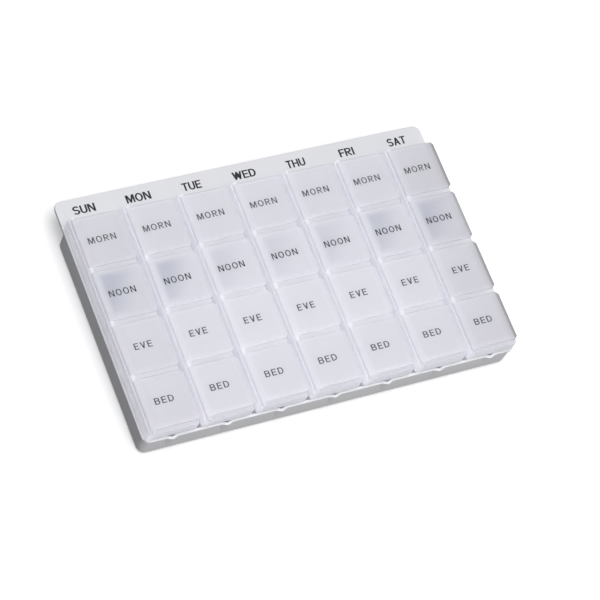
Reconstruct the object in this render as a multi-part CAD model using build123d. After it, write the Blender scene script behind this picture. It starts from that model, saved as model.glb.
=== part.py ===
from build123d import *
from math import atan2, degrees
import os

# Weekly pill organizer: an opaque tray with a day header, seven lift-out day
# strips standing in it, and four hinged lids on each strip. Millimetres, +Z up,
# origin at the middle of the underside of the whole object, +X along the week,
# +Y towards the header.

os.makedirs("parts", exist_ok=True)

DAYS = ["sun", "mon", "tue", "wed", "thu", "fri", "sat"]
TIMES = ["morn", "noon", "eve", "bed"]

# ---- driving dimensions -------------------------------------------------
col_pitch = 32.5            # one day strip to the next
row_pitch = 33.0            # one compartment to the next along a strip
strip_cy = -7.133           # middle of the strips
strip_dx = -0.3             # the strips sit a little left of the ribs and the day names
total_h = 28.7              # underside of the tray to the lid tops

# tray
rim_hw = 114.1              # half width over the rim
rim_front = strip_cy - 66.6
rim_back = strip_cy + 82.1  # back edge of the day header
rim_z = 17.0                # top of the rim
rim_t = 1.8                 # thickness of the rim band and of the header
rim_r = 4.5                 # plan corner radius
wall_draft = 0.35           # how far the wall leans out from foot to rim
wall_top_hw = 113.75        # the wall under the rim band
wall_top_front = rim_front + 0.35
wall_bot_front = wall_top_front + wall_draft
wall_top_back = strip_cy + 66.5
wall_bot_back = wall_top_back - wall_draft
tray_floor = 1.5
pocket_draft = 0.3
pocket_top_hw = 112.5
pocket_top_front = strip_cy - 65.2
pocket_bot_front = pocket_top_front + pocket_draft
pocket_top_back = strip_cy + 65.15
pocket_bot_back = pocket_top_back - pocket_draft
pocket_r = 3.2
base_round = 1.9
floor_rib_w, floor_rib_h = 1.2, 3.0
front_rib_hw = 3.7          # half width of each V-shaped rib at the rim
front_rib_out = 1.3         # how far it stands out there
gusset_t = 1.4

# day strip
strip_bot_w, strip_bot_l = 26.0, 128.4
strip_draft = 0.7           # the same on every side
strip_bottom = 1.6
flange_z0, flange_z1 = 25.1, 26.5
flange_x0, flange_x1 = -16.1, 14.0
flange_front, flange_back = -66.5, 65.6     # from the middle of the strips
flange_r = 1.3
apron_t = 0.9               # turned-down edge on the hinge side and at the front
apron_z = 20.0
divider_hw = 1.35           # raised bar between two lids
divider_z = 28.0
divider_x1 = 13.4
cup_bot_w, cup_bot_l = 23.9, 27.4
cup_draft = 0.6             # 25.1 by 28.6 at the mouth
cup_floor = 2.9
cup_r, cup_round = 3.9, 3.5
slot_low_w, slot_top_w = 2.9, 1.8   # hollow between two cups, open below
slot_top = 23.4

# lid
axis_x = -13.0              # hinge axis from the middle of the strip
axis_z = 27.35
barrel_r = 1.3
groove_r = 1.62             # clearance cut round the barrel
pin_r, hole_r = 0.70, 0.76
pin_len = 1.0
lid_hl = 14.85              # half length along the strip
lid_right = 14.2
lid_t = 1.3                 # thickness of the plate
skirt_z = 26.7              # bottom of the lid's edge
skirt_t = 0.9
plug_x0, plug_x1 = -10.7, 12.15
plug_hl = 13.9
plug_t = 1.0
plug_r = 4.0
plug_z = 24.4
lip_hl = 13.5               # half length of the thumb lip
lip_out = 14.95
lip_in = 14.25
lip_z = 26.1
post_gap = 0.15

xs = [(i - 3) * col_pitch for i in range(7)]
ys = [strip_cy + (1.5 - j) * row_pitch for j in range(4)]


def rr(w, l, r, cx, cy, z):
    """A rounded rectangle at height z."""
    return Pos(cx, cy, z) * RectangleRounded(w, l, r)


def drafted(w, l, r, cy, z0, z1, grow):
    """A block with rounded upright corners that widens by grow on every side going up."""
    return extrude(rr(w, l, r, 0, cy, z0), z1 - z0,
                   taper=-degrees(atan2(grow, z1 - z0)))


def frustum(low, high):
    """A flat-sided solid between two level outlines whose edges are parallel in pairs."""
    n = len(low)
    outlines = [low, high] + [
        [low[i], low[(i + 1) % n], high[(i + 1) % n], high[i]] for i in range(n)]
    return Solid(Shell([Face(Wire.make_polygon(pts)) for pts in outlines]))


def v_wedge(high, z_high, z_low, share, tip_y):
    """A V in plan that shrinks to a share of its size at z_low, its tip then at tip_y."""
    cx = sum(x for x, y in high) / len(high)
    tip = min(y for x, y in high)
    low = [(cx + (x - cx) * share, tip_y + (y - tip) * share) for x, y in high]
    return frustum([(x, y, z_low) for x, y in low], [(x, y, z_high) for x, y in high])


def span(a, b):
    """Length and middle of a stretch."""
    return b - a, (a + b) / 2


# ---- tray ---------------------------------------------------------------
def make_tray():
    l0, c0 = span(wall_bot_front, wall_bot_back)
    wall = drafted(2 * (wall_top_hw - wall_draft), l0, rim_r, c0,
                   0, rim_z - rim_t + 0.3, wall_draft)
    wall = fillet(wall.faces().sort_by(Axis.Z)[0].edges(), base_round)

    lr, cr = span(rim_front, rim_back)
    band = extrude(rr(2 * rim_hw, lr, rim_r, 0, cr, rim_z - rim_t), rim_t)

    # V-shaped upright ribs on the front wall, one under each day, dying out downwards
    ribs = []
    for x in xs:
        top = [
            (x - front_rib_hw, rim_front + 0.5), (x - front_rib_hw, rim_front),
            (x - 0.5, rim_front - front_rib_out), (x + 0.5, rim_front - front_rib_out),
            (x + front_rib_hw, rim_front), (x + front_rib_hw, rim_front + 0.5)]
        ribs.append(v_wedge(top, rim_z, 2.6, 0.4, wall_bot_front - 0.1))

    tray = wall + band + ribs
    top_edges = [
        e for e in tray.edges()
        if abs(e.center().Z - rim_z) < 1e-3
    ]
    tray = fillet(top_edges, 0.55)

    lp0, cp0 = span(pocket_bot_front, pocket_bot_back)
    grow = (rim_z + 1 - tray_floor) / (rim_z - tray_floor)
    pocket = drafted(2 * (pocket_top_hw - pocket_draft), lp0, pocket_r, cp0,
                     tray_floor, rim_z + 1, pocket_draft * grow)
    pocket = fillet(pocket.faces().sort_by(Axis.Z)[0].edges(), 0.8)
    tray -= pocket

    # the inside of each rib is a shallow V-groove
    for x in xs:
        top = [
            (x - 3.1, pocket_top_front + 0.5), (x - 3.1, pocket_top_front),
            (x, pocket_top_front - 1.2), (x + 3.1, pocket_top_front),
            (x + 3.1, pocket_top_front + 0.5)]
        tray -= v_wedge(top, rim_z + 0.01, 6.0, 0.4, pocket_top_front + 0.1)

    # low ribs on the floor keep the strips apart
    length = pocket_bot_back - pocket_bot_front - 3.0
    for i in range(6):
        x = (xs[i] + xs[i + 1]) / 2 + strip_dx
        rib = Pos(x, (pocket_bot_back + pocket_bot_front) / 2,
                  tray_floor - 0.2 + (floor_rib_h + 0.2) / 2) * Box(
            floor_rib_w, length, floor_rib_h + 0.2)
        rib = fillet(rib.faces().sort_by(Axis.Z)[-1].edges(), 0.4)
        tray += rib

    # gussets under the header, between the days
    for i in range(6):
        x = (xs[i] + xs[i + 1]) / 2
        g = make_face(Polyline(
            (wall_bot_back - 0.5, 4.5), (wall_top_back - 0.05, 4.5),
            (rim_back - 3.0, rim_z - rim_t + 0.2), (wall_bot_back - 0.5, rim_z - rim_t + 0.2),
            close=True))
        tray += extrude(Plane.YZ.offset(x - gusset_t / 2) * g, gusset_t)
    return tray


# ---- day strip ----------------------------------------------------------
def make_strip():
    """A strip about x = 0, with its hinge side at -X."""
    body = drafted(strip_bot_w, strip_bot_l, 2.6, strip_cy,
                   strip_bottom, flange_z0 + 0.3, strip_draft)
    body = fillet(body.faces().sort_by(Axis.Z)[0].edges(), 1.8)
    ends = [strip_cy + flange_front, strip_cy + flange_back]
    fw, fx = span(flange_x0, flange_x1)
    fl, fy = span(*ends)
    flange = extrude(rr(fw, fl, flange_r, fx, fy, apron_z), flange_z1 - apron_z)
    flange = fillet(flange.faces().sort_by(Axis.Z)[-1].edges(), 0.45)
    # only the turned-down edges on the hinge side and at the front reach down
    flange -= extrude(rr(fw + 4, fl + 4, 0.6, fx + 2 + apron_t, fy + 2 + apron_t,
                         apron_z - 1), flange_z0 - apron_z + 1)
    strip = body + flange

    # raised bars between the lids
    for j in range(3):
        w, cx = span(axis_x, divider_x1)
        bar = Pos(cx, (ys[j] + ys[j + 1]) / 2, (flange_z0 + 0.5 + divider_z) / 2) * Box(
            w, 2 * divider_hw, divider_z - flange_z0 - 0.5)
        strip += fillet(bar.faces().sort_by(Axis.Z)[-1].edges(), 0.4)

    # posts that carry the lids' pins: one at each end, one at each divider
    spans = [(ends[0], ys[3] - lid_hl - post_gap), (ys[0] + lid_hl + post_gap, ends[1])]
    for j in range(3):
        spans.append((ys[j + 1] + lid_hl + post_gap, ys[j] - lid_hl - post_gap))
    for a, b in spans:
        prof = make_face(Polyline(
            (axis_x - 1.3, flange_z1 - 0.8), (axis_x - 1.3, axis_z + 0.45),
            (axis_x - 0.75, axis_z + 1.2), (axis_x + 0.75, axis_z + 1.2),
            (axis_x + 1.45, axis_z + 0.45), (axis_x + 1.9, flange_z1 - 0.8),
            close=True))
        strip += extrude(Plane.XZ.offset(-b) * prof, b - a)

    for y in ys:
        # one cup, with a scooped floor
        grow = (flange_z1 + 1 - cup_floor) / (flange_z1 - cup_floor)
        cup = drafted(cup_bot_w, cup_bot_l, cup_r, y,
                      cup_floor, flange_z1 + 1, cup_draft * grow)
        cup = fillet(cup.faces().sort_by(Axis.Z)[0].edges(), cup_round)
        strip -= cup
        # room for the lid's barrel
        strip -= Pos(axis_x, y, axis_z) * Rot(90, 0, 0) * Cylinder(
            groove_r, 2 * lid_hl + 2 * post_gap)

    # hollow between neighbouring cups, open at the underside
    for j in range(3):
        y = (ys[j] + ys[j + 1]) / 2
        corners = [(-1, -1), (1, -1), (1, 1), (-1, 1)]
        strip -= frustum(
            [(10.4 * a, y + slot_low_w / 2 * b, strip_bottom - 0.5) for a, b in corners],
            [(11.0 * a, y + slot_top_w / 2 * b, slot_top) for a, b in corners])

    # the hinge holes, right through every post
    strip -= Pos(axis_x, strip_cy, axis_z) * Rot(90, 0, 0) * Cylinder(
        hole_r, fl + 6)
    return strip


# ---- lid ----------------------------------------------------------------
def make_lid():
    """A lid about x = 0, y = 0, closed."""
    z1 = total_h
    plate = Pos((axis_x + lid_right) / 2, 0, (z1 + skirt_z) / 2) * Box(
        lid_right - axis_x, 2 * lid_hl, z1 - skirt_z)
    right = plate.edges().filter_by(Axis.Z).sort_by(Axis.X)[-2:]
    plate = fillet(right, 1.3)
    top = [e for e in plate.edges()
           if abs(e.center().Z - z1) < 1e-3 and e.center().X > axis_x + 0.5]
    plate = fillet(top, 0.5)

    # thumb lip, rolled down past the strip's edge
    lip = make_face(Polyline(
        (lid_right - 1.0, skirt_z + 0.2), (lid_right - 1.0, z1), (lip_out, z1),
        (lip_out, lip_z), (lip_in, lip_z), (lip_in, skirt_z + 0.2), close=True))
    lip = extrude(Plane.XZ.offset(-lip_hl) * lip, 2 * lip_hl)
    corner = [e for e in lip.edges().filter_by(Axis.Y)
              if abs(e.center().X - lip_out) < 1e-3 and abs(e.center().Z - z1) < 1e-3]
    lip = fillet(corner, 1.0)
    lid = plate + lip

    # hollow underside inside the edge
    room = Pos((axis_x + 2.0 + lid_right - skirt_t) / 2, 0,
               (skirt_z - 1 + z1 - lid_t) / 2) * Box(
        lid_right - skirt_t - axis_x - 2.0, 2 * (lid_hl - skirt_t),
        z1 - lid_t - skirt_z + 1)
    room = fillet(room.edges().filter_by(Axis.Z), 0.8)
    lid -= room

    # plug ring that drops into the cup
    w, cx = span(plug_x0, plug_x1)
    h = z1 - lid_t + 0.2 - plug_z
    ring = extrude(rr(w, 2 * plug_hl, plug_r, cx, 0, plug_z), h)
    ring = fillet(ring.faces().sort_by(Axis.Z)[0].edges(), 0.35)
    ring -= extrude(rr(w - 2 * plug_t, 2 * (plug_hl - plug_t), plug_r - plug_t, cx, 0,
                       plug_z - 1), h + 0.8)
    lid += ring

    # clear the square edge away where the barrel turns, then add barrel and pins
    lid -= Pos(axis_x - 1.0, 0, (z1 + skirt_z) / 2) * Box(2.0, 2 * lid_hl + 1, 6.0)
    lid -= Pos(axis_x + 0.55, 0, skirt_z - 0.05) * Box(1.5, 2 * lid_hl + 1, 0.9)
    lid += Pos(axis_x, 0, axis_z) * Rot(90, 0, 0) * Cylinder(barrel_r, 2 * lid_hl)
    pin = Pos(axis_x, 0, axis_z) * Rot(90, 0, 0) * Cylinder(pin_r, 2 * (lid_hl + pin_len))
    pin = chamfer(pin.edges(), 0.15)
    lid += pin
    return lid


def main():
    def write(shape, name):
        solids = shape.solids()
        print(name, "solids", len(solids), "volume", round(sum(s.volume for s in solids)))
        shape.label = name
        export_step(shape, f"parts/{name}.step")

    write(make_tray(), "tray")
    strip = make_strip()
    lid = make_lid()
    for i, day in enumerate(DAYS):
        write(Pos(xs[i] + strip_dx, 0, 0) * strip, f"strip_{day}")
        for j, time in enumerate(TIMES):
            write(Pos(xs[i] + strip_dx, ys[j], 0) * lid, f"lid_{day}_{time}")


main()
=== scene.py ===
import bmesh
import bpy
import math
from mathutils import Matrix, Vector


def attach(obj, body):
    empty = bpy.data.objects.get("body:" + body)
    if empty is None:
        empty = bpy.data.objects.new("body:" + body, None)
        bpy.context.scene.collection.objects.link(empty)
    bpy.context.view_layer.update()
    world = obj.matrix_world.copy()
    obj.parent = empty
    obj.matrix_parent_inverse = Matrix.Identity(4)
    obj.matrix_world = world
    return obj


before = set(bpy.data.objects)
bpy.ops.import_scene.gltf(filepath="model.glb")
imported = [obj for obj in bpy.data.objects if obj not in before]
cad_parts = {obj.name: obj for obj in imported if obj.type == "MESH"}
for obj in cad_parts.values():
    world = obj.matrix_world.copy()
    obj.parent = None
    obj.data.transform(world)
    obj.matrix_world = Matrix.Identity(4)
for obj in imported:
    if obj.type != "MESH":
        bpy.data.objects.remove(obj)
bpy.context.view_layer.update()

MM = 0.001

DAYS = ["sun", "mon", "tue", "wed", "thu", "fri", "sat"]
TIMES = ["morn", "noon", "eve", "bed"]

# ---- sizes, in metres, that the looks need to know ------------------------
PITCH_X = 32.5 * MM
PITCH_Y = 33.0 * MM
STRIP_CY = -7.133 * MM
STRIP_DX = -0.3 * MM
LID_TOP = 28.7 * MM
RIM_TOP = 17.0 * MM
xs = [(i - 3) * PITCH_X for i in range(7)]
ys = [STRIP_CY + (1.5 - j) * PITCH_Y for j in range(4)]

# ---- camera ----------------------------------------------------------------
cam_data = bpy.data.cameras.new("camera")
cam = bpy.data.objects.new("camera", cam_data)
bpy.context.scene.collection.objects.link(cam)
cam_data.sensor_fit = "HORIZONTAL"
cam_data.sensor_width = 36.0
cam_data.lens = 165.02
cam_data.clip_start = 0.05
cam_data.clip_end = 50.0
right = Vector((0.893649, -0.357029, 0.271885))
down = Vector((-0.213242, -0.870916, -0.442756))
ahead = Vector((0.394865, 0.337691, -0.854427))
place = Vector((-0.599338, -0.528728, 1.318023))
cam.matrix_world = Matrix((
    (right.x, -down.x, -ahead.x, place.x),
    (right.y, -down.y, -ahead.y, place.y),
    (right.z, -down.z, -ahead.z, place.z),
    (0, 0, 0, 1)))
bpy.context.scene.camera = cam

scene = bpy.context.scene
scene.view_settings.view_transform = "Standard"
scene.view_settings.look = "None"
scene.view_settings.exposure = 0.0
scene.view_settings.gamma = 1.0
# light has to pass through several thin walls
scene.cycles.max_bounces = 14
scene.cycles.diffuse_bounces = 8
scene.cycles.transmission_bounces = 12


# ---- node helpers ----------------------------------------------------------
class Tree:
    """Short calls for building one material's nodes."""

    def __init__(self, material):
        material.use_nodes = True
        self.t = material.node_tree
        self.t.nodes.clear()

    def node(self, kind, **values):
        n = self.t.nodes.new(kind)
        for k, v in values.items():
            setattr(n, k, v)
        return n

    def link(self, a, b):
        self.t.links.new(a, b)

    def put(self, socket, value):
        if isinstance(value, bpy.types.NodeSocket):
            self.link(value, socket)
        else:
            socket.default_value = value

    def math(self, op, a, b=None, c=None, clamp=False):
        n = self.node("ShaderNodeMath", operation=op, use_clamp=clamp)
        self.put(n.inputs[0], a)
        if b is not None:
            self.put(n.inputs[1], b)
        if c is not None:
            self.put(n.inputs[2], c)
        return n.outputs[0]

    def span(self, v, a, b, lo=0.0, hi=1.0, smooth=True):
        n = self.node("ShaderNodeMapRange", clamp=True)
        n.interpolation_type = "SMOOTHSTEP" if smooth else "LINEAR"
        self.put(n.inputs["Value"], v)
        n.inputs["From Min"].default_value = a
        n.inputs["From Max"].default_value = b
        n.inputs["To Min"].default_value = lo
        n.inputs["To Max"].default_value = hi
        return n.outputs["Result"]

    def noise(self, vec, scale, detail=2.0, rough=0.5, distort=0.0):
        n = self.node("ShaderNodeTexNoise")
        self.link(vec, n.inputs["Vector"])
        n.inputs["Scale"].default_value = scale
        n.inputs["Detail"].default_value = detail
        n.inputs["Roughness"].default_value = rough
        n.inputs["Distortion"].default_value = distort
        return n.outputs["Fac"]

    def mix(self, fac, a, b, kind="MIX"):
        n = self.node("ShaderNodeMix", data_type="RGBA", blend_type=kind)
        n.clamp_factor = True
        self.put(n.inputs[0], fac)
        self.put(n.inputs[6], a)
        self.put(n.inputs[7], b)
        return n.outputs[2]

    def scaled(self, vec, sx, sy, sz):
        n = self.node("ShaderNodeMapping")
        self.link(vec, n.inputs["Vector"])
        n.inputs["Scale"].default_value = (sx, sy, sz)
        return n.outputs["Vector"]

    def bump(self, height, strength, distance, normal=None):
        n = self.node("ShaderNodeBump")
        n.inputs["Strength"].default_value = strength
        n.inputs["Distance"].default_value = distance
        self.link(height, n.inputs["Height"])
        if normal is not None:
            self.link(normal, n.inputs["Normal"])
        return n.outputs["Normal"]


def rgb(r, g, b):
    return (r, g, b, 1.0)


def common(t):
    """Object position, its parts, and how sharp the edge is here."""
    co = t.node("ShaderNodeTexCoord").outputs["Object"]
    sep = t.node("ShaderNodeSeparateXYZ")
    t.link(co, sep.inputs[0])
    geo = t.node("ShaderNodeNewGeometry")
    nor = t.node("ShaderNodeSeparateXYZ")
    t.link(t.node("ShaderNodeTexCoord").outputs["Normal"], nor.inputs[0])
    return co, sep.outputs, geo, nor.outputs


def scuffs(t, co, scale, keep):
    """Fine hairline rubs in two directions, sparse."""
    a = t.noise(t.scaled(co, 1.0, 0.06, 0.3), scale, 3.0, 0.6, 0.4)
    b = t.noise(t.scaled(co, 0.08, 1.0, 0.3), scale * 0.8, 3.0, 0.6, 0.4)
    a = t.span(a, keep, keep + 0.04)
    b = t.span(b, keep + 0.01, keep + 0.05)
    patch = t.span(t.noise(co, 34.0, 2.0), 0.45, 0.68)
    return t.math("MULTIPLY", t.math("MAXIMUM", a, b), patch)


def finish_shader(t, colour, rough, normal, glow=None, clear=None, **fixed):
    """glow is the share of light that passes on, spread out; clear what passes straight."""
    p = t.node("ShaderNodeBsdfPrincipled")
    out = t.node("ShaderNodeOutputMaterial")
    t.put(p.inputs["Base Color"], colour)
    t.put(p.inputs["Roughness"], rough)
    t.put(p.inputs["Normal"], normal)
    for k, v in fixed.items():
        t.put(p.inputs[k.replace("_", " ")], v)
    shader = p.outputs[0]
    if glow is not None:
        tr = t.node("ShaderNodeBsdfTranslucent")
        t.put(tr.inputs["Color"], colour)
        t.put(tr.inputs["Normal"], normal)
        mx = t.node("ShaderNodeMixShader")
        t.put(mx.inputs[0], glow)
        t.link(shader, mx.inputs[1])
        t.link(tr.outputs[0], mx.inputs[2])
        shader = mx.outputs[0]
    if clear is not None:
        see = t.node("ShaderNodeBsdfTransparent")
        see.inputs["Color"].default_value = (0.97, 0.975, 1.0, 1.0)
        mx = t.node("ShaderNodeMixShader")
        t.put(mx.inputs[0], clear)
        t.link(shader, mx.inputs[1])
        t.link(see.outputs[0], mx.inputs[2])
        shader = mx.outputs[0]
    t.link(shader, out.inputs["Surface"])
    return p


# ---- opaque white moulded tray -----------------------------------------------
def make_tray_material():
    m = bpy.data.materials.new("tray_white_plastic")
    t = Tree(m)
    co, xyz, geo, nor = common(t)
    # slow drift of the white; low on the walls it is painted darker and a little warmer, as painted shade
    drift = t.noise(co, 9.0, 3.0, 0.55)
    col = t.mix(t.span(drift, 0.3, 0.7), rgb(0.745, 0.745, 0.775), rgb(0.785, 0.785, 0.805))
    low = t.span(xyz[2], 0.0, 0.013, 1.0, 0.0)
    col = t.mix(t.math("MULTIPLY", low, 0.5), col, rgb(0.68, 0.68, 0.665))
    # flow marks from moulding: long faint streaks along the week
    flow = t.noise(t.scaled(co, 0.12, 1.0, 1.0), 120.0, 2.0, 0.5, 0.6)
    col = t.mix(t.span(flow, 0.5, 0.8, 0.0, 0.25), col, rgb(0.70, 0.70, 0.73))
    # rubbed edges are smoother, and painted a touch lighter as a painted highlight
    edge = t.span(geo.outputs["Pointiness"], 0.53, 0.62)
    col = t.mix(t.math("MULTIPLY", edge, 0.5), col, rgb(0.86, 0.86, 0.875))
    # the header is painted a shade darker, and the rim band painted lighter to lift the shade under the overhanging
    # strips, as painted light
    header_painted_shade = t.span(xyz[1], 58.5 * MM, 60.5 * MM)
    col = t.mix(t.math("MULTIPLY", header_painted_shade, 0.5), col, rgb(0.71, 0.71, 0.73))
    rim_painted_light = t.math("MULTIPLY", t.span(xyz[2], 15.6 * MM, 16.6 * MM), t.math("SUBTRACT", 1.0, header_painted_shade))
    col = t.mix(t.math("MULTIPLY", rim_painted_light, 0.85), col, rgb(0.90, 0.90, 0.915))
    # darker in inner corners
    corner = t.span(geo.outputs["Pointiness"], 0.47, 0.38)
    col = t.mix(t.math("MULTIPLY", corner, 0.35), col, rgb(0.56, 0.56, 0.55))
    rub = scuffs(t, co, 420.0, 0.66)
    col = t.mix(t.math("MULTIPLY", rub, 0.35), col, rgb(0.62, 0.62, 0.63))
    grain = t.noise(co, 2600.0, 2.0, 0.6)
    medium = t.noise(co, 620.0, 2.0, 0.5)
    rough = t.math("ADD", t.span(t.noise(co, 60.0, 3.0), 0.25, 0.75, 0.40, 0.54),
                   t.math("MULTIPLY", grain, 0.06))
    rough = t.math("SUBTRACT", rough, t.math("MULTIPLY", edge, 0.10))
    rough = t.math("ADD", rough, t.math("MULTIPLY", rub, 0.12))
    n = t.bump(grain, 0.35, 0.00004)
    n = t.bump(medium, 0.25, 0.00006, n)
    n = t.bump(t.math("SUBTRACT", 1.0, rub), 0.25, 0.00003, n)
    finish_shader(t, col, rough, n, Specular_IOR_Level=0.45)
    return m


# ---- frosted translucent plastics ----------------------------------------------
def cell(t, value, start, pitch):
    """Distance from the middle of the cell that this point is in, and the cell's number."""
    shifted = t.math("DIVIDE", t.math("SUBTRACT", value, start - pitch / 2), pitch)
    number = t.math("FLOOR", shifted)
    local = t.math("MULTIPLY", t.math("SUBTRACT", t.math("SUBTRACT", shifted, number), 0.5), pitch)
    return local, number


def by_day(t, number, values):
    """A value for each day's column, from its number 0 to 6."""
    out = values[0]
    for i in range(1, len(values)):
        step = t.math("GREATER_THAN", number, i - 0.5)
        out = t.math("MULTIPLY_ADD", step, values[i] - values[i - 1], out)
    return out


def box_mask(t, u, v, u0, u1, v0, v1, soft):
    """1 inside a rectangle of the lid's own coordinates, fading out over soft."""
    cu, cv = (u0 + u1) / 2, (v0 + v1) / 2
    du = t.math("SUBTRACT", t.math("ABSOLUTE", t.math("SUBTRACT", u, cu)), (u1 - u0) / 2)
    dv = t.math("SUBTRACT", t.math("ABSOLUTE", t.math("SUBTRACT", v, cv)), (v1 - v0) / 2)
    d = t.math("MAXIMUM", du, dv)
    return t.span(d, -soft, soft, 1.0, 0.0)


def make_lid_material(name, tinted):
    m = bpy.data.materials.new(name)
    t = Tree(m)
    co, xyz, geo, nor = common(t)
    u, iu = cell(t, xyz[0], xs[0] + STRIP_DX, PITCH_X)
    v, iv = cell(t, xyz[1], ys[3], PITCH_Y)
    seed = t.node("ShaderNodeCombineXYZ")
    t.link(iu, seed.inputs[0])
    t.link(iv, seed.inputs[1])
    wn = t.node("ShaderNodeTexWhiteNoise")
    wn.noise_dimensions = "3D"
    t.link(seed.outputs[0], wn.inputs["Vector"])
    each = wn.outputs["Value"]

    # thin plate over the compartment, thick border over the ring and the edge
    panel = box_mask(t, u, v, -10.3 * MM, 11.2 * MM, -12.9 * MM, 12.9 * MM, 0.8 * MM)
    ring = t.math("SUBTRACT",
                  box_mask(t, u, v, -11.2 * MM, 12.5 * MM, -14.0 * MM, 14.0 * MM, 0.35 * MM), panel)
    milk = t.noise(co, 55.0, 3.0, 0.55)
    base = t.mix(t.span(milk, 0.3, 0.7), rgb(0.925, 0.922, 0.955), rgb(0.945, 0.942, 0.971))
    base = t.mix(t.math("MULTIPLY", each, 0.5), base, rgb(0.942, 0.934, 0.963))
    thin = rgb(0.940, 0.938, 0.971)
    col = t.mix(t.math("MULTIPLY", panel, 0.75), base, thin)
    # the ring shows a little through the plate as a lighter band; it is painted lighter still on the hinge side, as a
    # painted highlight
    left = t.span(u, -13.0 * MM, 4.0 * MM, 1.0, 0.25)
    col = t.mix(t.math("MULTIPLY", t.math("MULTIPLY", ring, left), 0.38), col, rgb(0.985, 0.985, 0.995))
    # painted shade: the lip side, which slopes away from the light, is painted a little darker
    lip_painted_shade = t.math("MULTIPLY", t.span(u, 11.0 * MM, 12.6 * MM), t.span(u, 14.6 * MM, 13.8 * MM))
    col = t.mix(t.math("MULTIPLY", lip_painted_shade, 0.55), col, rgb(0.875, 0.880, 0.910))
    # strips at the ends of the tray catch less stray light through their neighbours
    shade = by_day(t, iu, (0.60, 0.14, 0.03, 0.0, 0.03, 0.15, 1.0))
    shade = t.math("MULTIPLY", shade, t.span(t.math("SUBTRACT", u, v), -26.0 * MM, 26.0 * MM, 0.45, 0.85))
    shade = t.math("ADD", shade, t.span(xyz[1], -40.0 * MM, -72.0 * MM, 0.0, 0.22))
    shade = t.math("ADD", shade, t.span(xyz[0], -104.0 * MM, -111.0 * MM, 0.0, 0.55))
    shade = t.math("ADD", shade, by_day(t, iv, (0.0, 0.0, 0.0, 0.14)))
    col = t.mix(shade, col, rgb(0.865, 0.858, 0.890))
    # the middle of the tray is the best lit, the evening row most of all
    lift = t.math("MULTIPLY", by_day(t, iv, (0.08, 0.34, 0.20, 0.0)),
                  by_day(t, iu, (0.1, 0.55, 1.0, 1.1, 1.0, 0.7, 0.1)))
    col = t.mix(lift, col, rgb(0.982, 0.980, 0.996))
    # the outermost lips roll away from the light
    roll = t.math("MAXIMUM", t.span(u, 11.9 * MM, 13.9 * MM),
                  t.math("MULTIPLY", t.span(t.math("ABSOLUTE", v), 12.6 * MM, 13.3 * MM),
                         t.span(u, 12.0 * MM, 13.8 * MM)))
    roll = t.math("ADD", roll, t.span(u, 9.0 * MM, 11.6 * MM, 0.0, 0.17))
    roll = t.math("MULTIPLY", roll, by_day(t, iu, (0.02, 0.02, 0.02, 0.02, 0.02, 0.02, 0.57)))
    roll = t.math("MULTIPLY", roll, t.span(nor[2], -0.45, -0.05))
    col = t.mix(roll, col, rgb(0.28, 0.28, 0.27))
    if tinted:
        # the noon lids are dyed a little bluer; the darker blue-grey patch towards each one's upper left is painted
        # shade from inside the compartment, strongest at the ends of the tray
        ramp = t.math("ADD", t.math("MULTIPLY", u, -1.0), t.math("MULTIPLY", v, 0.45))
        upper_left_painted_shade = t.span(ramp, -9.0 * MM, 12.5 * MM)
        cloud = t.span(t.noise(co, 90.0, 2.0), 0.3, 0.7, 0.85, 1.1)
        shade_patch_mask = box_mask(t, u, v, -9.9 * MM, 11.0 * MM, -11.0 * MM, 11.8 * MM, 2.1 * MM)
        noon_painted_shade = t.math("MULTIPLY", t.math("MULTIPLY", upper_left_painted_shade, shade_patch_mask), cloud)
        noon_shade_by_day = by_day(t, iu, (1.18, 0.92, 0.36, 0.36, 0.45, 0.84, 1.12))
        noon_painted_shade = t.math("MULTIPLY", noon_painted_shade, noon_shade_by_day)
        col = t.mix(noon_painted_shade, col, rgb(0.70, 0.719, 0.790))
        col = t.mix(0.15, col, rgb(0.91, 0.918, 0.962))
        # painted shade: the noon lids at the ends of the tray are darker
        noon_end_painted_shade = by_day(t, iu, (0.10, 0.02, 0.0, 0.0, 0.0, 0.05, 0.13))
        col = t.mix(noon_end_painted_shade, col, rgb(0.80, 0.793, 0.825))
    # painted highlight: sharp edges painted lighter, most on the hinge side
    edge = t.span(geo.outputs["Pointiness"], 0.53, 0.63)
    col = t.mix(t.math("MULTIPLY", t.math("MULTIPLY", edge, left), 0.3), col, rgb(0.985, 0.985, 0.995))
    rub = scuffs(t, co, 520.0, 0.665)
    up = t.span(nor[2], 0.7, 0.98)
    rub = t.math("MULTIPLY", rub, up)
    col = t.mix(t.math("MULTIPLY", rub, 0.3), col, rgb(0.99, 0.99, 0.99))
    satin = t.noise(co, 3000.0, 2.0, 0.6)
    wave = t.noise(co, 160.0, 2.0, 0.5)
    rough = t.span(t.noise(co, 80.0, 3.0), 0.3, 0.7, 0.34, 0.46)
    rough = t.math("ADD", rough, t.math("MULTIPLY", rub, 0.15))
    rough = t.math("ADD", rough, t.math("MULTIPLY", satin, 0.05))
    # the plate sinks very slightly over the ring, and again towards its middle
    sink = t.math("MULTIPLY", ring, -1.0)
    dish = t.span(t.math("MAXIMUM", t.math("ABSOLUTE", u), t.math("ABSOLUTE", v)), 3.0 * MM, 12.5 * MM)
    n = t.bump(satin, 0.25, 0.00003)
    n = t.bump(wave, 0.22, 0.0001, n)
    n = t.bump(sink, 0.5, 0.00008, n)
    n = t.bump(dish, 0.5, 0.00022, n)
    n = t.bump(rub, 0.2, 0.00002, n)
    clear = t.math("MULTIPLY_ADD", panel, 0.04, 0.03)
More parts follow.
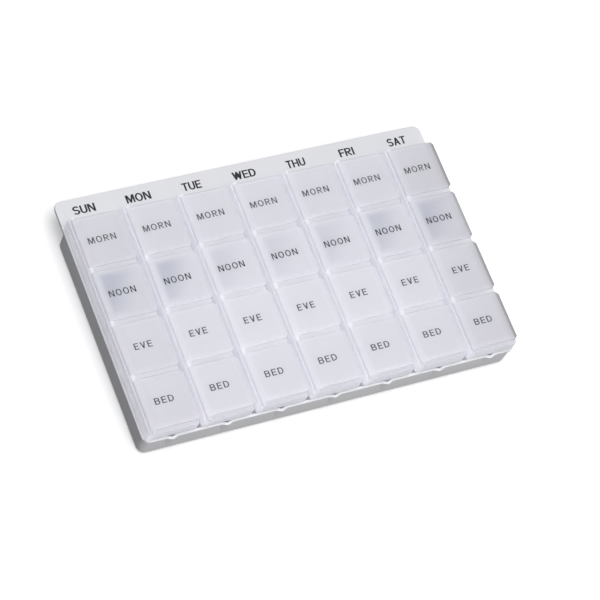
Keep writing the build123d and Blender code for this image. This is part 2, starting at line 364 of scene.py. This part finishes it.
    # painted glow: emission stands in for light that wanders inside the plastic and fills the slits around a lid
    slit = t.math("MULTIPLY", t.span(t.math("ABSOLUTE", v), 14.1 * MM, 14.5 * MM), t.span(u, 13.4 * MM, 12.4 * MM))
    slit = t.math("MAXIMUM", slit, t.span(u, -12.9 * MM, -13.4 * MM))
    slit = t.math("MULTIPLY", slit, t.span(xyz[1], -70.8 * MM, -69.8 * MM))
    slit = t.math("MULTIPLY", slit, t.span(nor[2], 0.65, 0.25))
    painted_glow = t.math("MULTIPLY", slit, 0.10)
    finish_shader(t, col, rough, n, glow=0.5, clear=clear, Specular_IOR_Level=0.5,
                  Emission_Color=rgb(0.955, 0.955, 1.0), Emission_Strength=painted_glow)
    return m


def make_strip_material():
    m = bpy.data.materials.new("strip_frosted_plastic")
    t = Tree(m)
    co, xyz, geo, nor = common(t)
    u, iu = cell(t, xyz[0], xs[0] + STRIP_DX, PITCH_X)
    v, iv = cell(t, xyz[1], ys[3], PITCH_Y)
    milk = t.noise(co, 40.0, 3.0, 0.55)
    col = t.mix(t.span(milk, 0.3, 0.7), rgb(0.950, 0.948, 0.974), rgb(0.970, 0.968, 0.988))
    # painted shade: the hollow between two cups is painted as a slightly darker band on the sides
    gap = t.span(t.math("ABSOLUTE", v), 14.6 * MM, 15.7 * MM)
    below = t.span(xyz[2], 23.0 * MM, 24.5 * MM, 1.0, 0.0)
    col = t.mix(t.math("MULTIPLY", t.math("MULTIPLY", gap, below), 0.5), col, rgb(0.90, 0.903, 0.93))
    # painted shade: darker towards the bottom of the strip
    low = t.span(xyz[2], 0.0, 0.022, 0.5, 0.0)
    col = t.mix(low, col, rgb(0.93, 0.932, 0.95))
    # painted highlight: sharp edges painted lighter
    edge = t.span(geo.outputs["Pointiness"], 0.53, 0.63)
    col = t.mix(t.math("MULTIPLY", edge, 0.45), col, rgb(0.985, 0.985, 0.995))
    # painted light: upward-facing tops are painted lighter than the walls
    top = t.math("MULTIPLY", t.span(nor[2], 0.3, 0.9), t.span(xyz[2], 24.5 * MM, 25.5 * MM))
    col = t.mix(t.math("MULTIPLY", top, 0.6), col, rgb(0.965, 0.965, 0.982))
    # the outer edges of the row of strips have no neighbour to light them
    outer = t.math("MAXIMUM", t.span(xyz[0], -111.9 * MM, -112.9 * MM),
                   t.span(xyz[1], -71.0 * MM, -72.4 * MM))
    outer = t.math("MULTIPLY", outer, t.span(nor[2], 0.15, 0.6))
    col = t.mix(outer, col, rgb(0.76, 0.757, 0.782))
    # painted shade: the outermost left ridge is painted darker to dull its highlight
    left_ridge_painted_shade = t.math("MULTIPLY", t.span(xyz[0], -112.3 * MM, -112.9 * MM), t.span(nor[2], 0.05, 0.5))
    col = t.mix(left_ridge_painted_shade, col, rgb(0.63, 0.628, 0.652))
    # painted shade: the rolled edge beside the next strip is painted darker than the flat of the flange
    rolled_edge_painted_shade = t.math("MULTIPLY", t.span(u, -14.7 * MM, -15.1 * MM), t.span(nor[2], 0.05, 0.5))
    rolled_edge_painted_shade = t.math("MULTIPLY", rolled_edge_painted_shade, t.span(xyz[0], -111.0 * MM, -109.0 * MM))
    col = t.mix(rolled_edge_painted_shade, col, rgb(0.82, 0.817, 0.842))
    # painted glow: emission stands in for light that wanders from strip to strip across the narrow gaps, up into the
    # bars and onto the front faces
    side = t.math("MULTIPLY", t.span(nor[2], 0.75, 0.35), t.span(t.math("ABSOLUTE", u), 12.3 * MM, 13.2 * MM))
    side = t.math("MULTIPLY", side, t.span(xyz[0], -112.6 * MM, -113.4 * MM, 1.0, 1.12))
    side = t.math("MULTIPLY", side, t.span(xyz[2], 2.0 * MM, 18.0 * MM, 0.3, 1.0))
    bar = t.math("MULTIPLY", t.span(t.math("ABSOLUTE", v), 14.9 * MM, 15.2 * MM), t.span(xyz[2], 26.9 * MM, 27.3 * MM))
    bar = t.math("MULTIPLY", bar, by_day(t, iu, (0.35, 0.7, 0.95, 1.0, 0.95, 0.75, 0.3)))
    bar = t.math("MULTIPLY", bar, t.span(xyz[1], 0.0, 20.0 * MM, 1.0, 0.5))
    front = t.math("MULTIPLY", t.span(nor[1], -0.35, -0.85), t.span(xyz[1], -71.6 * MM, -72.4 * MM))
    front = t.math("MULTIPLY", front, t.span(t.math("ABSOLUTE", u), 12.3 * MM, 13.2 * MM, 1.0, 0.0))
    painted_glow = t.math("MAXIMUM", t.math("MULTIPLY", side, 0.158), t.math("MULTIPLY", bar, 0.085))
    painted_glow = t.math("MAXIMUM", painted_glow, t.math("MULTIPLY", front, 0.062))
    rub = scuffs(t, t.scaled(co, 1.0, 1.0, 1.0), 480.0, 0.665)
    col = t.mix(t.math("MULTIPLY", rub, 0.3), col, rgb(0.99, 0.99, 0.99))
    satin = t.noise(co, 3000.0, 2.0, 0.6)
    wave = t.noise(co, 180.0, 2.0, 0.5)
    rough = t.span(t.noise(co, 80.0, 3.0), 0.3, 0.7, 0.34, 0.46)
    rough = t.math("ADD", rough, t.math("MULTIPLY", satin, 0.05))
    n = t.bump(satin, 0.25, 0.00003)
    n = t.bump(wave, 0.25, 0.0001, n)
    glow = t.span(nor[2], 0.3, 0.9, 0.50, 0.53)
    finish_shader(t, col, rough, n, glow=glow, clear=0.04, Specular_IOR_Level=0.5,
                  Emission_Color=rgb(0.955, 0.955, 1.0), Emission_Strength=painted_glow)
    return m


def make_ink(name, dark, light):
    m = bpy.data.materials.new(name)
    t = Tree(m)
    co, xyz, geo, nor = common(t)
    mott = t.noise(co, 900.0, 3.0, 0.6)
    col = t.mix(t.span(mott, 0.35, 0.75), rgb(*dark), rgb(*light))
    rough = t.span(t.noise(co, 500.0, 2.0), 0.3, 0.7, 0.42, 0.62)
    n = t.bump(mott, 0.3, 0.00002)
    finish_shader(t, col, rough, n, Specular_IOR_Level=0.35)
    return m


tray_mat = make_tray_material()
lid_mat = make_lid_material("lid_frosted_plastic", False)
noon_mat = make_lid_material("lid_noon_plastic", True)
strip_mat = make_strip_material()
ink_day = make_ink("day_print", (0.016, 0.016, 0.019), (0.046, 0.046, 0.052))
ink_time = {
    "morn": make_ink("time_print_morn", (0.075, 0.075, 0.085), (0.135, 0.135, 0.15)),
    "noon": make_ink("time_print_noon", (0.030, 0.030, 0.042), (0.070, 0.070, 0.085)),
    "eve": make_ink("time_print_eve", (0.050, 0.050, 0.062), (0.100, 0.100, 0.115)),
    "bed": make_ink("time_print_bed", (0.050, 0.050, 0.062), (0.100, 0.100, 0.115)),
}


def dress(node, material):
    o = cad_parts[node]
    if not o.material_slots:
        o.data.materials.append(material)
    for s in o.material_slots:
        s.material = material


dress("tray", tray_mat)
for d in DAYS:
    dress("strip_" + d, strip_mat)
    for k in TIMES:
        dress("lid_" + d + "_" + k, noon_mat if k == "noon" else lid_mat)


# ---- printed words -------------------------------------------------------------
# Plain sans capitals, each a list of closed outlines in a box one unit tall.
def arc(cx, cy, rx, ry, a0, a1, n=14):
    out = []
    for i in range(n + 1):
        a = math.radians(a0 + (a1 - a0) * i / n)
        out.append((cx + rx * math.cos(a), cy + ry * math.sin(a)))
    return out


def glyph(ch, w, s):
    """Outlines of one capital, w wide, with strokes s thick."""
    h = s * 1.08
    b = s * 0.88                       # thickness of the level strokes
    if ch == "I":
        return s, [[(0, 0), (s, 0), (s, 1), (0, 1)]]
    if ch == "T":
        c = w / 2
        return w, [[(c - s / 2, 0), (c + s / 2, 0), (c + s / 2, 1 - b), (w, 1 - b), (w, 1), (0, 1),
                    (0, 1 - b), (c - s / 2, 1 - b)]]
    if ch == "H":
        m = 0.5 - b / 2
        return w, [[(0, 0), (s, 0), (s, m), (w - s, m), (w - s, 0), (w, 0), (w, 1), (w - s, 1),
                    (w - s, m + b), (s, m + b), (s, 1), (0, 1)]]
    if ch == "E":
        m = 0.52 - b / 2
        return w, [[(0, 0), (w, 0), (w, b), (s, b), (s, m), (w * 0.92, m), (w * 0.92, m + b),
                    (s, m + b), (s, 1 - b), (w, 1 - b), (w, 1), (0, 1)]]
    if ch == "F":
        m = 0.50 - b / 2
        return w, [[(0, 0), (s, 0), (s, m), (w * 0.90, m), (w * 0.90, m + b), (s, m + b),
                    (s, 1 - b), (w, 1 - b), (w, 1), (0, 1)]]
    if ch == "N":
        e = 0.18 * s
        d = w - 2 * s - e
        g = (h - e) / (d + h - e)
        return w, [[(0, 0), (s, 0), (s, 1 - g), (w - s - e, 0), (w, 0), (w, 1), (w - s, 1),
                    (w - s, g), (s + e, 1), (0, 1)]]
    if ch == "M":
        e, a = 0.30 * s, 0.36 * s
        d = w / 2 - a - s
        g = (h - e) / (d + h - e)
        m = (1 - g) / d
        n = 1 - m * (w / 2 - s - e)
        return w, [[(0, 0), (s, 0), (s, 1 - g), (w / 2 - a, 0), (w / 2 + a, 0), (w - s, 1 - g),
                    (w - s, 0), (w, 0), (w, 1), (w - s - e, 1), (w / 2, n), (s + e, 1), (0, 1)]]
    if ch == "W":
        a = 0.42 * s
        x1, x2 = w * 0.27, w * 0.73
        m = 1 / (x1 - a)
        c = 1 - m * (x1 - h)
        k = 0.36 * s
        m2 = (1 - c) / (w / 2 - k - x1)
        top = m2 * (w / 2 - x1 - a)
        return w, [[(0, 1), (x1 - a, 0), (x1 + a, 0), (w / 2, top), (x2 - a, 0), (x2 + a, 0),
                    (w, 1), (w - h, 1), (x2, c), (w / 2 + k, 1), (w / 2 - k, 1), (x1, c), (h, 1)]]
    if ch == "V":
        a = 0.45 * s
        m = 1 / (w / 2 - a)
        c = 1 - m * (w / 2 - h)
        return w, [[(0, 1), (w / 2 - a, 0), (w / 2 + a, 0), (w, 1), (w - h, 1), (w / 2, c), (h, 1)]]
    if ch == "A":
        a = 0.50 * s
        m = 1 / (w / 2 - a)
        y1, y2 = 0.24, 0.24 + b
        return w, [[(0, 0), (w / 2 - a, 1), (w / 2 + a, 1), (w, 0), (w - h, 0), (w - h - y1 / m, y1),
                    (h + y1 / m, y1), (h, 0)],
                   [(h + y2 / m, y2), (w - h - y2 / m, y2), (w / 2, m * (w / 2 - h))]]
    if ch == "O":
        return w, [arc(w / 2, 0.5, w / 2, 0.515, 0, 360 - 360 / 36, 35),
                   arc(w / 2, 0.5, w / 2 - s, 0.515 - b, 0, 360 - 360 / 36, 35)]
    if ch == "U":
        r = w / 2
        ri = w / 2 - s
        return w, [[(0, 1)] + arc(r, r, r, r + 0.015, 180, 360, 18) + [(w, 1), (w - s, 1)]
                   + arc(r, r, ri, r + 0.015 - b, 360, 180, 18) + [(s, 1)]]
    if ch == "D":
        rx = w * 0.56
        return w, [[(0, 0), (w - rx, 0)] + arc(w - rx, 0.5, rx, 0.5, -84, 84, 18) + [(w - rx, 1), (0, 1)],
                   [(s, b), (w - rx, b)] + arc(w - rx, 0.5, rx - s, 0.5 - b, -82, 82, 18)
                   + [(w - rx, 1 - b), (s, 1 - b)]]
    if ch == "R":
        ym = 0.43
        ry = (1 - ym) / 2
        rx = w * 0.40
        c = w - 0.03 * w - rx
        xt = min(w * 0.46, c - s)
        return w, [[(0, 0), (0, 1), (c, 1)] + arc(c, 1 - ry, rx, ry, 84, -84, 12) + [(c, ym), (xt + s, ym),
                    (w, 0), (w - s * 1.12, 0), (xt, ym), (s, ym), (s, 0)],
                   [(s, ym + b), (c, ym + b)] + arc(c, 1 - ry, rx - s, ry - b, -80, 80, 10)
                   + [(c, 1 - b), (s, 1 - b)]]
    if ch == "B":
        ym = 0.53
        r1, r2 = ym / 2 + b / 4, (1 - ym) / 2 + b / 4
        x1, x2 = w * 0.42, w * 0.37
        c1, c2 = w - x1, w * 0.95 - x2
        top0 = 1 - 2 * r2
        low1 = 2 * r1
        mid = (top0 + low1) / 2
        notch = w * 0.84
        low = [p for p in arc(c1, r1, x1, r1, -84, 84, 12) if p[1] < mid - 0.012 or p[0] < notch]
        up = [p for p in arc(c2, 1 - r2, x2, r2, -84, 84, 12) if p[1] > mid + 0.012 or p[0] < notch]
        low = [p for p in low if p[1] < mid - 0.012]
        up = [p for p in up if p[1] > mid + 0.012]
        return w, [[(0, 0), (c1, 0)] + low + [(notch, mid)] + up + [(c2, 1), (0, 1)],
                   [(s, b), (c1, b)] + arc(c1, (b + mid - b / 2) / 2, x1 - s, (mid - b / 2 - b) / 2, -80, 80, 10)
                   + [(c1, mid - b / 2), (s, mid - b / 2)],
                   [(s, mid + b / 2), (c2, mid + b / 2)]
                   + arc(c2, (mid + b / 2 + 1 - b) / 2, x2 - s, (1 - b - mid - b / 2) / 2, -80, 80, 10)
                   + [(c2, 1 - b), (s, 1 - b)]]
    if ch == "S":
        rx, ry = (w - s) / 2, (1.03 - b) / 4
        line = arc(w / 2, 1.015 - b / 2 - ry, rx, ry, 22, 262, 22) \
            + arc(w / 2, -0.015 + b / 2 + ry, rx, ry, 82, -158, 22)
        left, right_ = [], []
        for i, p in enumerate(line):
            q0, q1 = line[max(i - 1, 0)], line[min(i + 1, len(line) - 1)]
            dx, dy = q1[0] - q0[0], q1[1] - q0[1]
            ln = math.hypot(dx, dy)
            nx, ny = -dy / ln, dx / ln
            left.append((p[0] + nx * s / 2, p[1] + ny * b / 2))
            right_.append((p[0] - nx * s / 2, p[1] - ny * b / 2))
        return w, [left + right_[::-1]]
    raise ValueError(ch)


# letter widths as a share of the cap height
WIDE = {"S": 0.66, "U": 0.68, "N": 0.72, "M": 0.86, "O": 0.78, "T": 0.62, "E": 0.60, "W": 1.00, "D": 0.70,
        "H": 0.70, "F": 0.57, "R": 0.70, "I": 0.2, "A": 0.72, "V": 0.68, "B": 0.68}
INK = 0.015 * MM          # how far the print stands above the plastic


def printed(name, text, cap, width, stroke, gap, x, y, z, body, material):
    """A thin printed word, cap tall and width wide, centred on x, y, lying on z."""
    loops, at = [], 0.0
    for ch in text:
        w, outlines = glyph(ch, WIDE[ch], stroke)
        loops += [[(px + at, py) for px, py in line] for line in outlines]
        at += w + gap
    total = at - gap
    sx = width / total
    c = bpy.data.curves.new(name, "CURVE")
    c.dimensions = "2D"
    c.fill_mode = "BOTH"
    c.extrude = INK / 2
    for line in loops:
        sp = c.splines.new("POLY")
        sp.points.add(len(line) - 1)
        for p, (px, py) in zip(sp.points, line):
            p.co = ((px - total / 2) * sx, (py - 0.5) * cap, 0.0, 1.0)
        sp.use_cyclic_u = True
    o = bpy.data.objects.new(name + "_curve", c)
    scene.collection.objects.link(o)
    bpy.context.view_layer.update()
    me = bpy.data.meshes.new_from_object(o.evaluated_get(bpy.context.evaluated_depsgraph_get()))
    bpy.data.objects.remove(o)
    bpy.data.curves.remove(c)
    bm = bmesh.new()
    bm.from_mesh(me)
    bmesh.ops.remove_doubles(bm, verts=bm.verts, dist=2e-7)
    bmesh.ops.recalc_face_normals(bm, faces=bm.faces)
    bm.to_mesh(me)
    bm.free()
    me.name = name
    me.materials.clear()
    me.materials.append(material)
    me.transform(Matrix.Translation((x, y, z + INK / 2)))
    o = bpy.data.objects.new(name, me)
    scene.collection.objects.link(o)
    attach(o, body)
    return o


DAY_W = {"sun": 0.406, "mon": 0.456, "tue": 0.356, "wed": 0.44, "thu": 0.36, "fri": 0.29, "sat": 0.36}
for i, d in enumerate(DAYS):
    printed("print_day_" + d, d.upper(), 5.0 * MM, DAY_W[d] * PITCH_X, 0.185, 0.06,
            xs[i] - 0.62 * MM, STRIP_CY + 74.58 * MM, RIM_TOP, "tray", ink_day)

TIME_W = {"morn": 0.50, "noon": 0.48, "eve": 0.32, "bed": 0.34}
for j, k in enumerate(TIMES):
    for i, d in enumerate(DAYS):
        printed("print_" + d + "_" + k, k.upper(), 3.8 * MM, TIME_W[k] * PITCH_X, 0.15, 0.24,
                xs[i] - 1.54 * MM, ys[j] + 0.25 * MM, LID_TOP, "lid_" + d + "_" + k, ink_time[k])

# ---- floor and light --------------------------------------------------------------
bm = bmesh.new()
bmesh.ops.create_grid(bm, x_segments=1, y_segments=1, size=4.0)
fm = bpy.data.meshes.new("floor")
bm.to_mesh(fm)
bm.free()
floor = bpy.data.objects.new("floor", fm)
floor.location = (0, 0, -0.0002)
scene.collection.objects.link(floor)
mat = bpy.data.materials.new("floor_pale")
t = Tree(mat)
co = t.node("ShaderNodeTexCoord").outputs["Object"]
col = t.mix(t.span(t.noise(co, 3.0, 2.0), 0.3, 0.7), rgb(0.90, 0.90, 0.905), rgb(0.92, 0.92, 0.92))
finish_shader(t, col, 0.9, t.bump(t.noise(co, 900.0, 2.0), 0.1, 0.0001), Specular_IOR_Level=0.1,
              Emission_Color=rgb(1.0, 1.0, 1.0), Emission_Strength=0.22)
fm.materials.append(mat)
floor.visible_diffuse = False
floor.visible_glossy = False
floor.visible_transmission = True


def area(name, place, at, size, watts, colour=(1, 1, 1)):
    d = bpy.data.lights.new(name, "AREA")
    d.shape = "DISK"
    d.size = size
    d.energy = watts
    d.color = colour
    o = bpy.data.objects.new(name, d)
    o.location = place
    o.rotation_euler = (Vector(at) - Vector(place)).to_track_quat("-Z", "Y").to_euler()
    scene.collection.objects.link(o)
    return o


area("key", (-0.08, -0.12, 1.20), (0, -0.02, 0.01), 1.0, 9.1, (1.0, 1.0, 1.0))
area("front", (0.05, -1.3, 0.50), (0, 0, 0.01), 0.9, 6.9, (1.0, 1.0, 1.0))

world = bpy.data.worlds.new("studio")
scene.world = world
world.use_nodes = True
wt = world.node_tree
wt.nodes.clear()
tc = wt.nodes.new("ShaderNodeTexCoord")
sp = wt.nodes.new("ShaderNodeSeparateXYZ")
wt.links.new(tc.outputs["Generated"], sp.inputs[0])
ramp = wt.nodes.new("ShaderNodeValToRGB")
mr = wt.nodes.new("ShaderNodeMapRange")
wt.links.new(sp.outputs["Z"], mr.inputs["Value"])
mr.inputs["From Min"].default_value = -1.0
mr.inputs["From Max"].default_value = 1.0
wt.links.new(mr.outputs["Result"], ramp.inputs["Fac"])
ramp.color_ramp.elements[0].position = 0.44
ramp.color_ramp.elements[0].color = (0.06, 0.058, 0.055, 1)
ramp.color_ramp.elements[1].position = 0.60
ramp.color_ramp.elements[1].color = (0.46, 0.465, 0.48, 1)
bg = wt.nodes.new("ShaderNodeBackground")
bg.inputs["Strength"].default_value = 1.0
wt.links.new(ramp.outputs["Color"], bg.inputs["Color"])
wo = wt.nodes.new("ShaderNodeOutputWorld")
wt.links.new(bg.outputs[0], wo.inputs["Surface"])
